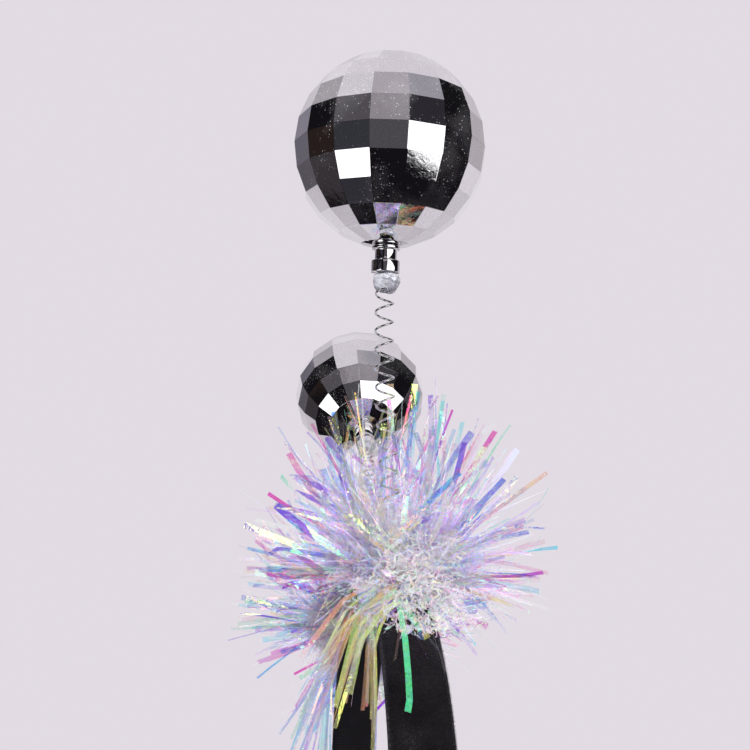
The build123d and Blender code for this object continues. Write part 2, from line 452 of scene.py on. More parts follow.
def glue_material():
    """Set hot glue: cloudy, grey and slightly see-through, with a wet shine."""
    made, tree, where = new_material("hot_glue")
    clouds = noise_at(tree, where, 300.0, 2.0, 1.5)
    bubbles = cells_at(tree, where, 900.0).outputs["Distance"]
    colour = ramp(tree, clouds, [
        (0.32, (0.22, 0.22, 0.25)), (0.50, (0.36, 0.37, 0.40)), (0.68, (0.52, 0.53, 0.57))])
    height = math_node(tree, "MULTIPLY_ADD", bubbles, 0.3, clouds)
    return surfaced(made, {
        "Base Color": colour, "Roughness": 0.25, "IOR": 1.48, "Transmission Weight": 0.45,
        "Subsurface Weight": 0.4, "Subsurface Radius": (0.002, 0.002, 0.0022),
        "Normal": bumped(tree, height, 0.13, 0.0004)})


def wire_material(name, light, roughness):
    """Drawn steel wire: bright, with fine draw marks and a few dull spots."""
    made, tree, where = new_material(name)
    marks = noise_at(tree, where, 1500.0, 5.0)
    stains = noise_at(tree, where, 180.0, 2.0)
    colour = ramp(tree, stains, [
        (0.35, (light * 0.82, light * 0.82, light * 0.84)), (0.65, (light, light, light * 1.02))])
    return surfaced(made, {
        "Base Color": colour, "Metallic": 1.0,
        "Roughness": rescale(tree, marks, 0.0, 1.0, roughness, roughness + 0.18),
        "Normal": bumped(tree, marks, 0.12, 0.00005)})


def mirror_material(name, dust_amount):
    """Vacuum-metallised plastic: a mirror with moulding ripple, fine speckle and dust."""
    made, tree, where = new_material(name)
    ripple = noise_at(tree, where, 520.0, 1.0, 0.8)
    pits = noise_at(tree, where, 3000.0, 2.0)
    specks = cells_at(tree, where, 1350.0).outputs
    spread = noise_at(tree, where, 75.0, 3.0)
    height = math_node(tree, "MULTIPLY_ADD", pits, 0.22, ripple)
    point = rescale(tree, specks["Distance"], 0.30, 0.14)
    chosen = rescale(tree, specks["Color"], 0.5, 0.8)
    here = rescale(tree, spread, 0.42, 0.54)
    dust = math_node(tree, "MULTIPLY", math_node(tree, "MULTIPLY", point, chosen), here)
    haze = rescale(tree, spread, 0.50, 0.80, 0.0, 0.03)
    cover = math_node(tree, "MULTIPLY_ADD", dust, dust_amount, haze)
    cover.node.use_clamp = True
    grain = rescale(tree, pits, 0.3, 0.7, 0.74, 1.0)
    metal = add(tree, "BsdfPrincipled", {
        "Base Color": mix_colour(tree, grain, (0.0, 0.0, 0.0), (0.93, 0.92, 0.94)),
        "Metallic": 1.0, "Roughness": 0.03, "Normal": bumped(tree, height, 0.15, 0.00006)})
    powder = add(tree, "BsdfPrincipled", {
        "Base Color": (0.75, 0.74, 0.76, 1.0), "Roughness": 0.8})
    return finish_material(made, mix_shader(tree, cover, metal, powder))


def film_material(name, scatter, whiteness, roughness, crinkle, grain):
    """Iridescent film: it lets one tint through and reflects all the rest of the light."""
    made, tree, where = new_material(name)
    tint = add(tree, "Attribute", attribute_name="film").outputs["Color"]
    cells = cells_at(tree, where, crinkle).outputs["Color"]
    varied = mix_colour(tree, grain, tint, cells, "SOFT_LIGHT")
    rest = mix_colour(tree, 0.97, (1.0, 1.0, 1.0), varied, "SUBTRACT")
    through = add(tree, "BsdfTransparent", {"Color": varied})
    mirror = add(tree, "BsdfPrincipled", {
        "Base Color": rest, "Metallic": 1.0, "Roughness": roughness,
        "Normal": bumped(tree, noise_at(tree, where, crinkle, 2.0), 0.4, 0.0003)})
    film = add(tree, "AddShader", {0: through.outputs[0], 1: mirror.outputs[0]})
    white = (0.97, 0.97, 0.95)
    body = add(tree, "BsdfTranslucent", {"Color": mix_colour(tree, whiteness, varied, white)})
    front = add(tree, "BsdfDiffuse", {"Color": mix_colour(tree, whiteness, rest, white)})
    soft = mix_shader(tree, 0.5, body, front)
    return finish_material(made, mix_shader(tree, scatter, film, soft))


def floor_material():
    """Plain pale lilac paper."""
    made, tree, where = new_material("floor_paper")
    grain = noise_at(tree, where, 300.0, 3.0)
    colour = ramp(tree, grain, [(0.3, (0.84, 0.79, 0.85)), (0.7, (0.88, 0.83, 0.89))])
    return surfaced(made, {"Base Color": colour, "Roughness": 0.9,
                                                     "Specular IOR Level": 0.1})


VELVET = velvet_material()
RIBBON = ribbon_material()
HOOP_PLASTIC = hoop_plastic_material()
GLUE = glue_material()
SPRING_STEEL = wire_material("spring_steel", 0.78, 0.08)
GARLAND_STEEL = wire_material("garland_steel", 0.62, 0.25)
MIRROR = mirror_material("mirror_plastic", 0.22)
CHROME = mirror_material("chrome_plastic", 0.12)
FILM = film_material("tinsel_film", 0.08, 0.15, 0.08, 600.0, 0.5)
CRINKLED_FILM = film_material("tinsel_crinkled", 0.17, 0.0, 0.22, 1100.0, 0.5)
CRUMPLED_FILM = film_material("tinsel_crumple", 0.46, 0.38, 0.16, 2400.0, 0.9)


# ======== the hoop ========

def tip_half_width(angle, full):
    """Half width of the band at an angle, narrowing round the corners of its tip."""
    left = radians(TIP_ANGLE - angle) * LEG_R
    if left >= TIP_R:
        return full
    return full - TIP_R + sqrt(max(TIP_R ** 2 - (TIP_R - left) ** 2, 0.0))


def cover_section(half):
    """Cross-section of the velvet: up one edge, over the crowned top, down the other edge."""
    corner = 1.1 * MM
    crown = 0.18 * MM
    outline = [(-half + COVER_SIDE, CORE_IN), (-half + 0.25 * MM, CORE_IN),
               (-half, CORE_IN + 0.3 * MM), (-half, BAND_OUT - corner - crown)]
    for k in range(1, 5):
        a = radians(90 * k / 4)
        outline.append((-half + corner * (1 - cos(a)),
                        BAND_OUT - crown - corner * (1 - sin(a))))
    for k in range(1, 12):
        share = -1 + 2 * k / 12
        outline.append(((half - corner) * share, BAND_OUT - crown * share ** 4))
    outer = outline + [(-y, r) for y, r in reversed(outline[:8])]
    inner = [(half - COVER_SIDE, CORE_OUT), (0.0, CORE_OUT), (-half + COVER_SIDE, CORE_OUT)]
    return outer + inner


def lining_section(half):
    """Cross-section of the ribbon lining, a flat strip."""
    thick = CORE_IN - GLUE_GAP - HEAD_R
    outer = [(half * (1 - 2 * k / 10), HEAD_R + thick) for k in range(11)]
    inner = [(-half * (1 - 2 * k / 10), HEAD_R) for k in range(11)]
    return outer + inner


def sweep_band(section, from_angle, to_angle, side, lumps):
    """The band's cloth between two angles: cross-sections joined up, and closed at a leg's tip."""
    count = max(2, round((to_angle - from_angle) / BAND_STEP) + 1)
    points, places = [], []
    columns = len(section(BAND_WIDTH / 2))
    angles = [from_angle + (to_angle - from_angle) * k / (count - 1) for k in range(count)]
    if to_angle > 90:
        fine = [TIP_ANGLE - degrees(TIP_R / LEG_R) * (1 - k / 8) ** 2 for k in range(1, 9)]
        angles = [a for a in angles if a < fine[0] - 0.4] + fine
    for angle in angles:
        half = tip_half_width(min(angle, TIP_ANGLE), BAND_WIDTH / 2)
        for across, radius in section(half):
            spot = band_spot(radius, angle, across, side)
            bulge = noise.noise(spot * 420.0) * lumps
            outward = band_spot(radius + MM, angle, across, side) - spot
            points.append(spot + outward / MM * bulge)
            places.append((angle * radians(1) * radius / MM, across / MM, 0.0))
    faces = grid_faces(len(angles), columns)
    if to_angle > 90:
        last = (len(angles) - 1) * columns
        faces.append(tuple(last + k for k in reversed(range(columns))))
    return points, flipped(faces) if side > 0 else faces, places


def cloth_piece(name, section, from_angle, to_angle, side, material, lumps):
    """One stretch of the band's cloth, with its own place along and across the band."""
    points, faces, places = sweep_band(section, from_angle, to_angle, side, lumps)
    piece = new_piece(name, points, faces, material)
    place = piece.data.attributes.new("band_place", "FLOAT_VECTOR", "POINT")
    place.data.foreach_set("vector", [value for spot in places for value in spot])
    return piece


def pile_piece(name, from_angle, to_angle, side, count, draw):
    """Short velvet fibres standing on the outer face and edges of the band."""
    points, faces = [], []
    for _ in range(count):
        angle = draw.uniform(from_angle, to_angle)
        half = tip_half_width(min(angle, TIP_ANGLE), BAND_WIDTH / 2)
        section = cover_section(half)[1:25]
        k = draw.randrange(len(section) - 1)
        if draw.random() < PILE_EDGE_SHARE:
            k = draw.choice([*range(2, 7), *range(len(section) - 7, len(section) - 2)])
        share = draw.random()
        (y, r), (next_y, next_r) = section[k:k + 2]
        across = y * (1 - share) + next_y * share
        radius = r * (1 - share) + next_r * share
        root = band_spot(radius, angle, across, side)
        radial = (band_spot(radius + MM, angle, across, side) - root).normalized()
        edge = (next_y - y, next_r - r)
        length = max(hypot(*edge), 1e-9)
        out = (radial * (edge[0] / length) - Vector((0, 1, 0)) * (edge[1] / length)).normalized()
        lean = Vector([draw.gauss(0, PILE_LEAN) for _ in range(3)])
        tip = root + (out + lean).normalized() * draw.uniform(*PILE_LENGTHS) * MM
        breadth = (tip - root).orthogonal().normalized() * PILE_BREADTH
        start = len(points)
        points += [root - breadth - out * 0.1 * MM, root + breadth - out * 0.1 * MM, tip]
        faces.append((start, start + 1, start + 2))
    return new_piece(name, points, faces, VELVET)


def make_hoop(draw):
    """Velvet, its pile and the lining, over the crown and down both legs."""

    def dress(place, section, material, kind, node, lumps, pile=0):
        name = f"{place}_{kind}"
        on_crown = place == "crown"
        start = -CROWN_END if on_crown else CROWN_END
        end = CROWN_END if on_crown else TIP_ANGLE
        side = -1 if place == "right_leg" else 1
        piece = cloth_piece(name, section, start, end, side, material, lumps)
        going = []
        if pile:
            going.append(pile_piece(f"{name}_pile", start, end, side, pile, draw))
        for cloth in [piece, *going]:
            if on_crown:
                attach(cloth, "hoop")
            else:
                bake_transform(cloth)
        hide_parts(node)

    for place, pile in PILE_FIBRES:
        dress(place, cover_section, VELVET, "velvet", f"{place}_cover",
              COVER_LUMPS, pile)
        dress(place, lining_section, RIBBON, "ribbon", f"{place}_lining",
              LINING_LUMPS)
        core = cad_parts[f"{place}_core"]
        core.data.materials.clear()
        core.data.materials.append(HOOP_PLASTIC)


# ======== glue, garland core and springs ========

def blob(matrix, spot_at, rings, sides, seed):
    """A lumpy closed surface: spot_at(up, turn) gives a local point for each direction."""
    points = []
    for k in range(rings + 1):
        up = -pi / 2 + pi * k / rings
        for j in range(sides):
            turn = tau * j / sides
            spot = spot_at(up, turn)
            lumps = GLUE_LUMPS * noise.noise(spot * GLUE_LUMP_SCALE + Vector((seed, seed, 0)))
            creases = -GLUE_CREASES * (1 - abs(sin(2.1 * up + turn / 2 + seed))) ** 6
            points.append(matrix @ (spot * (1 + lumps + creases)))
    return points, grid_faces(rings + 1, sides)


def make_base_glue(side):
    """Lumpy glue mound on the crown, round the foot of the spring."""
    crown = crown_frame(side)

    def mound(up, turn):
        flat = GLUE_R * cos(up) * (1 + 0.06 * sin(3 * turn))
        return ring_spot(flat, turn, GLUE_H * sin(up))
    points, faces = blob(crown, mound, 24, 40, 7.0 if side == "left" else 19.0)
    seated = [pushed_out(spot, BAND_OUT + GLUE_GAP) for spot in points]
    piece = new_piece(f"{side}_glue_mound", seated, faces, GLUE)
    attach(piece, "hoop")
    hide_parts(f"{side}_base_glue")


def make_garland_ring(side):
    """Two wires twisted together and closed into a ring."""
    crown = crown_frame(side)
    steps = GARLAND_TWISTS * 12
    strands = []
    for strand in range(2):
        path = []
        for k in range(steps + 1):
            around = tau * k / steps
            twist = GARLAND_TWISTS * around + pi * strand
            flat = CORE_RING_R + STRAND_R * 1.1 * cos(twist)
            height = CORE_RING_H + STRAND_R * 1.1 * sin(twist)
            path.append(crown @ ring_spot(flat, around, height))
        strands.append(tube(path, STRAND_R, 6))
    piece = new_piece(f"{side}_garland_wire", *join(strands), GARLAND_STEEL)
    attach(piece, "hoop")
    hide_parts(f"{side}_garland_core")


def wire_path(side, start, end):
    """Points along the spring's wire between two distances from its foot."""
    count = max(4, round((end - start) / PITCH * TURN_STEPS))
    path = []
    for k in range(count + 1):
        s = start + (end - start) * k / count
        path.append(spring_frame(side, s) @ ring_spot(COIL_R, tau * s / PITCH, 0))
    return path


def make_spring(side):
    """The spring's wire in five stretches, each taking the place of one or two of the chain's bodies."""
    stands_for = [["foot"], ["coil_1"], ["coil_2"], ["coil_3"], ["coil_4", "top"]]
    for k, nodes in enumerate(stands_for):
        path = wire_path(side, WIRE_CUTS[k], WIRE_CUTS[k + 1])
        points, faces = tube(path, WIRE_D / 2, WIRE_SIDES)
        piece = new_piece(f"{side}_wire_{k + 1}", points, faces, SPRING_STEEL)
        spring_point(side, BEND_STARTS[k])
        spring_point(side, BEND_ENDS[k])
        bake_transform(piece)
        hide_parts(*(f"{side}_spring_{node}" for node in nodes))


def make_top_glue(side):
    """Irregular blob of glue under the neck, round the spring's last turn."""
    ball = ball_frame(side)

    def drop(up, turn):
        share = (sin(up) + 1) / 2
        flat = (TOP_GLUE_R[0] + TOP_GLUE_R[1] * share ** 0.6) * sqrt(max(cos(up), 0.0))
        bulge = 1 + 0.16 * cos(turn - radians(90)) + 0.05 * sin(3 * turn)
        return ring_spot(flat * bulge, turn, TOP_GLUE_H * (share - 1))
    place = ball @ Matrix.Translation((0, 0, -NECK_TOP))
    points, faces = blob(place, drop, 26, 36, 3.0 if side == "left" else 11.0)
    piece = new_piece(f"{side}_glue_drop", points, faces, GLUE)
    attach(piece, f"{side}_ball")
    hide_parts(f"{side}_top_glue")


# ======== necks and mirror balls ========

def rounded_profile(corners, rounding):
    """A lathe profile with its corners cut by small arcs."""
    profile = [corners[0]]
    for before, corner, after in zip(corners, corners[1:], corners[2:]):
        corner = Vector(corner)
        into = Vector(before) - corner
        out = Vector(after) - corner
        cut = min(rounding, into.length * 0.45, out.length * 0.45)
        a = corner + into.normalized() * cut
        b = corner + out.normalized() * cut
        for share in (0.0, 0.33, 0.67, 1.0):
            profile.append(tuple(a * (1 - share) ** 2 + corner * 2 * share * (1 - share)
                                 + b * share ** 2))
    profile.append(corners[-1])
    return profile


def make_neck(side):
    """Turned stem: a spigot in the ball, a flange, a waist and a wider end."""
    corners = [(0.0, -NECK_STEPS[0][1])]
    for radius, top, bottom in NECK_STEPS:
        corners += [(radius, -top), (radius, -bottom)]
    corners.append((0.0, -NECK_STEPS[-1][2]))
    profile = rounded_profile(corners, NECK_ROUNDING)[1:-1]
    ball = ball_frame(side)
    points = [ball @ ring_spot(radius, tau * j / NECK_SIDES, height)
              for radius, height in profile for j in range(NECK_SIDES)]
    faces = grid_faces(len(profile), NECK_SIDES) + lids(len(profile), NECK_SIDES)
    piece = new_piece(f"{side}_stem", points, flipped(faces), CHROME)
    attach(piece, f"{side}_ball")
    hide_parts(f"{side}_neck")


def facet_ring(row, phase, radius):
    """The corners of one ring of facets, row 0 next to the neck's hole."""
    up = radians(-90 + 180 * row / FACET_ROWS)
    flat, height = radius * cos(up), radius * sin(up)
    if row == 0:  # the hole for the neck is cut in the triangles round the pole
        first = facet_ring(1, phase, radius)
        share = NECK_HOLE_R / hypot(first[0].x, first[0].y)
        pole = Vector((0, 0, -radius))
        return [pole * (1 - share) + corner * share for corner in first]
    turns = [radians(phase + 360 * k / FACET_COLUMNS) for k in range(FACET_COLUMNS)]
    return [ring_spot(flat, turn, height) for turn in turns]


def shell_points(rows, phase, shift):
    """Corners of a half shell, outside then inside; the shift keeps the middle row off the seam."""
    points = []
    for radius in (BALL_R, SHELL_INNER_R):
        for row in rows:
            lift = Vector((0, 0, shift if row == FACET_ROWS // 2 else 0))
            points += [corner + lift for corner in facet_ring(row, phase, radius)]
    return points


def shell_rim(row, inner):
    """Faces that join the outside to the inside along one row of corners."""
    faces = []
    for k in range(FACET_COLUMNS):
        a, b = (row * FACET_COLUMNS + j % FACET_COLUMNS for j in (k, k + 1))
        faces.append((a, a + inner, b + inner, b))
    return faces if row == 0 else flipped(faces)


def pole_cap(low, pole):
    """Triangles from one row of corners up to the pole."""
    return [(low + k, low + (k + 1) % FACET_COLUMNS, pole) for k in range(FACET_COLUMNS)]


def make_half_shell(side, half):
    """One moulded half of the ball: flat facets with softened edges, hollow inside."""
    lower = half == "lower"
    middle = FACET_ROWS // 2
    rows = range(0, middle + 1) if lower else range(middle, FACET_ROWS)
    points = shell_points(rows, BALL_PHASE[side], -SEAM_GAP if lower else SEAM_GAP)
    last = (len(rows) - 1) * FACET_COLUMNS
    inner = last + FACET_COLUMNS
    faces = grid_faces(len(rows), FACET_COLUMNS)
    faces += flipped(grid_faces(len(rows), FACET_COLUMNS, start=inner)) + shell_rim(0, inner)
    if lower:
        faces += shell_rim(len(rows) - 1, inner)
    else:
        faces += pole_cap(last, 2 * inner) + flipped(pole_cap(inner + last, 2 * inner + 1))
        points += [Vector((0, 0, BALL_R)), Vector((0, 0, SHELL_INNER_R))]
    ball = ball_frame(side)
    piece = new_piece(f"{side}_mirror_{half}", [ball @ p for p in points], faces, MIRROR, False)
    seam = range(last, inner) if lower else range(FACET_COLUMNS)
    soften(piece, lambda k: (k < inner or k == len(points) - 2) and k not in seam)
    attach(piece, f"{side}_ball")
    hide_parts(f"{side}_ball_{half}")


def soften(piece, is_outer):
    """Round off the edges between flat facets, but not the seam's sharp rim."""
    weights = piece.data.attributes.new("bevel_weight_edge", "FLOAT", "EDGE")
    for edge, weight in zip(piece.data.edges, weights.data):
        weight.value = 1.0 if any(is_outer(k) for k in edge.vertices) else 0.0
    bevel = piece.modifiers.new("facet_edges", "BEVEL")
    bevel.width = FACET_EDGE
    bevel.segments = 2
    bevel.limit_method = "WEIGHT"


# ======== tinsel ========

# What a strip of the film lets through, in the order of its interference colours.
FILM_COLOURS = [
    (1.00, 0.93, 0.62),  # cream
    (1.00, 0.66, 0.52),  # peach
    (1.00, 0.45, 0.80),  # pink
    (0.84, 0.10, 0.62),  # magenta
    (0.44, 0.18, 0.90),  # violet
    (0.20, 0.20, 0.86),  # indigo
    (0.20, 0.54, 0.98),  # blue
    (0.36, 0.90, 1.00),  # cyan
    (0.50, 0.95, 0.70),  # mint
    (0.92, 0.96, 0.95),  # silver
]
PALE_FILM = (0.96, 0.94, 0.95)


def film_colour(order, strength):
    """The film's tint at a place in its cycle of colours, paler as its strength falls."""
    place = (order % 1.0) * len(FILM_COLOURS)
    k = int(place) % len(FILM_COLOURS)
    share = place - int(place)
    after = FILM_COLOURS[(k + 1) % len(FILM_COLOURS)]
    full = [a * (1 - share) + b * share for a, b in zip(FILM_COLOURS[k], after)]
    mixed = [pale * (1 - strength) + tint * strength for pale, tint in zip(PALE_FILM, full)]
    return [min(max(part, 0.01), 1.0) for part in mixed]


class Ribbons:
    """Many flat strips gathered into one mesh, with a colour at every point."""

    def __init__(self):
        self.points, self.faces, self.colours = [], [], []

    def strip(self, path, facing, width, colours):
        """One strip: a path, the way it faces at each point, its width and its colours."""
        start = len(self.points)
        for k, spot in enumerate(path):
            along = heading_at(path, k)
            breadth = along.cross(facing[k])
            if breadth.length < 1e-6:
                breadth = along.orthogonal()
            breadth = breadth.normalized() * width / 2
            self.points += [spot - breadth, spot + breadth]
            self.colours += [colours[k], colours[k]]
        for k in range(len(path) - 1):
            low = start + 2 * k
            self.faces.append((low, low + 1, low + 3, low + 2))

    def make(self, name, material):
        piece = new_piece(name, self.points, self.faces, material, False)
        tint = piece.data.attributes.new("film", "FLOAT_COLOR", "POINT")
        tint.data.foreach_set("color", [v for c in self.colours for v in (*c, 1.0)])
        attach(piece, "hoop")
        return piece


def random_unit(draw):
    """A direction drawn evenly from the sphere."""
    up = draw.uniform(-1, 1)
    turn = draw.uniform(0, tau)
    return ring_spot(sqrt(1 - up * up), turn, up)


class Pom:
    """Where one pom-pom's strips may go."""

    def __init__(self, side):
        self.foot = spring_point(side, 0)
        self.crown = crown_frame(side)
        self.turned = self.crown.to_3x3()
        self.spring = (spring_point(side, POM_R) - self.foot).normalized()
        down = band_spot(BAND_OUT, SPRING_ANGLE + 30, 0, SIDES[side]) - self.foot
        self.droop = self.turned.transposed() @ down.normalized()
        self.bundles = []

    def keep_clear(self, spot):
        """Push a point off the band, and out of the well that the spring moves in."""
        if spot.z > 0:
            spot = pushed_out(spot, BAND_OUT + TINSEL_GAP)
        along = (spot - self.foot).dot(self.spring)
        if along > 0:
            away = spot - self.foot - self.spring * along
            room = WELL_R[0] + (WELL_R[1] - WELL_R[0]) * along / POM_R
            if away.length < room:
                away = away.normalized() if away.length > 1e-6 else self.spring.orthogonal()
                spot = self.foot + self.spring * along + away * room
        return spot

    def heading(self, draw):
        """A local direction for a strip: any way but down through the band."""
        while True:
            way = random_unit(draw)
            if way.z > LOWEST_HEADING:
                return way

    def bundled_heading(self, draw):
        """A direction near one of the few that the strips gather in."""
        while len(self.bundles) < BUNDLES:
            self.bundles.append(self.heading(draw))
        way = draw.choice(self.bundles)
        return (way + random_unit(draw) * abs(draw.gauss(0, BUNDLE_SPREAD))).normalized()


def strip_path(pom, way, reach, draw, loose):
    """A strip's line: out of the garland's ring, nearly straight, sometimes kinked."""
    around = atan2(way.y, way.x) + draw.gauss(0, 1.1)
    root = ring_spot(CORE_RING_R, around, CORE_RING_H)
    root += random_unit(draw) * draw.uniform(0, 3) * MM
    tip = way * reach
    middle = root.lerp(tip, draw.uniform(0.35, 0.6)) + random_unit(draw) * reach * loose
    path = [root * (1 - t) ** 2 + middle * 2 * t * (1 - t) + tip * t * t for t in STRIP_SHARES]
    if draw.random() < KINKED_SHARE:
        k = draw.randrange(2, STRIP_STEPS)
        turn = Matrix.Rotation(draw.uniform(0.2, 0.9), 3, random_unit(draw))
        path[k + 1:] = [path[k] + turn @ (spot - path[k]) for spot in path[k + 1:]]
    return [pom.keep_clear(pom.crown @ spot) for spot in path]


def hanging_path(side, draw):
    """A strip that droops over the band's front edge and hangs beside the leg."""
    start, end = draw.uniform(*HANGING_FROM), draw.uniform(*HANGING_TO)
    forward = draw.random() ** 1.4
    path = []
    for t in STRIP_SHARES:
        lift = (3.0 * (1 - t) - (4.0 + 9.0 * (1 - forward)) * t ** 1.5) * MM
        across = -(2.0 + 7.0 * min(1.0, 3 * t) + 19.0 * forward * t) * MM
        path.append(band_spot(BAND_OUT + lift, start + (end - start) * t, across, SIDES[side]))
    return path


def turning_faces(path, draw, twist):
    """The way a strip faces along its path, turning slowly."""
    along = (path[-1] - path[0]).normalized()
    side_on = along.cross(random_unit(draw))
    side_on = side_on.normalized() if side_on.length > 1e-6 else along.orthogonal()
    turn = draw.gauss(0, twist)
    return [Matrix.Rotation(turn * k / (len(path) - 1), 3, along) @ side_on
            for k in range(len(path))]


def make_strips(side, pom, draw):
    """The long strips, pale near the garland's core and strongly coloured further out."""
    ribbons = Ribbons()
    for k in range(BOLD_STRIPS + THIN_STRIPS):
        bold = k < BOLD_STRIPS
        way = pom.bundled_heading(draw)
        reach = POM_REACH * (1 + UPWARD_GAIN * max(way.z, 0.0)) * draw.triangular(0.45, 1.04, 0.9)
        path = strip_path(pom, way, reach, draw, 0.09 if bold else 0.14)
        width = draw.choice(BOLD_WIDTHS if bold else THIN_WIDTHS) * MM
        kind = draw.random()
        vivid = draw.uniform(*next(span for share, span in VIVIDNESS if kind < share))
        order, drift = draw.triangular(0.05, 0.95, 0.44), draw.gauss(0, 0.15)
        colours = []
        for j, spot in enumerate(path):
            out = ((spot - pom.foot).length - COLOUR_FROM) / (COLOUR_TO - COLOUR_FROM)
            strength = vivid * min(max(out, 0.0), 1.0)
            colours.append(film_colour(order + drift * j / STRIP_STEPS, strength))
        ribbons.strip(path, turning_faces(path, draw, 1.2), width, colours)
    return ribbons.make(f"{side}_tinsel_strips", FILM)


def make_hanging(side, draw):
    """Crinkled strips that droop over the band's front edge, and one that lies down the leg."""
    ribbons = Ribbons()
    for _ in range(HANGING_STRIPS):
        path = hanging_path(side, draw)
        order = draw.uniform(0.3, 0.7)
        colours = [film_colour(order + 0.015 * j, 0.95) for j in range(len(path))]
        faces = turning_faces(path, draw, 0.8)
        width = draw.uniform(*HANGING_WIDTHS) * MM
        ribbons.strip(path, faces, width, colours)
    path = [band_spot(BAND_OUT + lift * MM, angle, across * MM, SIDES[side])
            for angle, across, lift in LEG_STRIP]
    colours = [film_colour(0.31 - 0.01 * j, 0.95) for j in range(len(path))]
    outward = [Vector((spot.x, 0, spot.z)).normalized() for spot in path]
    ribbons.strip(path, outward, 1.5 * MM, colours)
    ribbons.make(f"{side}_tinsel_hanging", CRINKLED_FILM)


def make_crumple(side, pom, draw):
    """The strips' crimped and crumpled inner lengths: a dense sparkle of tiny facets."""
    ribbons = Ribbons()
    for _ in range(CRUMPLED_BITS):
        way = pom.heading(draw)
        if draw.random() < DROOP_SHARE:
            way = (way * 0.6 + pom.droop).normalized()
        reach = CRUMPLE_FROM + (CRUMPLE_TO - CRUMPLE_FROM) * draw.random() ** 0.7
        if draw.random() < CRUMPLE_STRAY:
            reach *= draw.uniform(*STRAY_REACH)
        down = max(0.0, -(pom.turned @ way).z) * max(0.0, 1 - 1.6 * abs(way.y))
        reach = min(reach * (1 + DROOP_GAIN * down), CRUMPLE_LIMIT)
        spot = pom.crown @ (way * reach)
        heading = (pom.turned @ way + random_unit(draw) * 0.8).normalized()
        path, facing = [spot], [random_unit(draw)]
        for _ in range(CRUMPLE_STEPS):
            heading = (heading + random_unit(draw) * 0.75).normalized()
            path.append(path[-1] + heading * draw.uniform(*CRUMPLE_STEP) * MM)
            facing.append((facing[-1] + random_unit(draw) * 0.9).normalized())
        path = [pom.keep_clear(spot) for spot in path]
        strength = draw.uniform(0.7, 1.0) if draw.random() < 0.4 else draw.uniform(0.1, 0.7)
        tint = film_colour(draw.choice(CRUMPLE_ORDERS), strength)
        ribbons.strip(path, facing, draw.uniform(*CRUMPLE_WIDTHS) * MM, [tint] * len(path))
    return ribbons.make(f"{side}_tinsel_crumple", CRUMPLED_FILM)


def make_tinsel(side, seed):
    """A pom-pom: strips of film standing out all round the garland's core."""
    draw = random.Random(seed)
    pom = Pom(side)
    strips = make_strips(side, pom, draw)
    make_crumple(side, pom, draw)
    make_hanging(side, draw)
    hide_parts(f"{side}_tinsel")


# ======== studio ========

CAMERA_AT = Vector((0.2605, -0.0397, -0.0122))
CAMERA_YAW = 8.93
CAMERA_PITCH = 30.95
CAMERA_ROLL = -1.18
CAMERA_LENS = 39.84
PAPER = (0.760, 0.708, 0.768)
PAPER_MIRRORED = ((0.54, 0.50, 0.55), (0.82, 0.77, 0.83))  # in the duller and brighter places
DARK_ROOM = (0.008, 0.007, 0.009)
LAMP_DISTANCE = 1.0
LAMP_SIZE = 0.6
LAMPS = (("key", 75.0, 6.0, 31.0), ("fill", 150.0, 15.0, 6.0), ("back", 265.0, 20.0, 6.0))
ROOM_FACING = (80.0, -20.0)  # the middle of the dark room that polished surfaces see
ROOM_EDGE = (122.0, 108.0)  # degrees from its middle: paper from one, darkness to the other
CEILING_EDGE = (52.0, 36.0)  # and the same in degrees of height
FLOOR_REACH = 2.5

# What only polished surfaces see: azimuth, elevation, half width and half height in degrees,
# and brightness. Azimuth 0 is in front of the wearer and 90 is on the wearer's left.
PANELS = [
    (90, 76, 40, 22, (0.76, 0.71, 0.77)),
    (83, 37, 17, 13, (0.48, 0.44, 0.48)),
    (82, 5, 18, 16, (0.32, 0.29, 0.32)),
    (122, 38, 15, 11, (0.36, 0.35, 0.39)),
    (44, 44, 16, 12, (0.73, 0.69, 0.74)),
    (43, 15, 14, 11, (0.095, 0.088, 0.10)),
    (0, 55, 20, 9, (0.41, 0.39, 0.42)),
    (121, 10, 13, 9, (0.030, 0.028, 0.035)),
    (80, -24, 15, 11, (0.085, 0.080, 0.09)),
    (35, -11, 13, 8, (0.040, 0.040, 0.050)),
    (-2, 9, 14, 10, (0.024, 0.016, 0.014)),
    (-20, -14, 14, 12, (0.045, 0.040, 0.045)),
    (-17, -53, 16, 12, (0.035, 0.034, 0.042)),
    (-44, 17, 13, 8, (0.110, 0.100, 0.118)),
    (-41, 31.5, 13, 7, (0.150, 0.140, 0.170)),
    (-45, 45, 13, 7, (0.25, 0.235, 0.28)),
    (-157, 33, 12, 17, (0.49, 0.45, 0.48)),
    (165, 42, 20, 13, (0.009, 0.009, 0.010)),
    (17, -34, 21, 15, (1.7, 1.7, 1.7)),
    (128, -25, 31, 20, (1.7, 1.7, 1.7)),
]


def look(azimuth, elevation):
    """Direction towards a place in the room."""
    a, e = radians(azimuth), radians(elevation)
    return Vector((sin(a) * cos(e), -cos(a) * cos(e), sin(e)))


def dot(tree, direction, axis):
    return add(tree, "VectorMath", {0: direction, 1: tuple(axis)},
               operation="DOT_PRODUCT").outputs["Value"]


def step_up(tree, value, low, high):
    made = rescale(tree, value, low, high)
    made.node.interpolation_type = "SMOOTHSTEP"
    return made


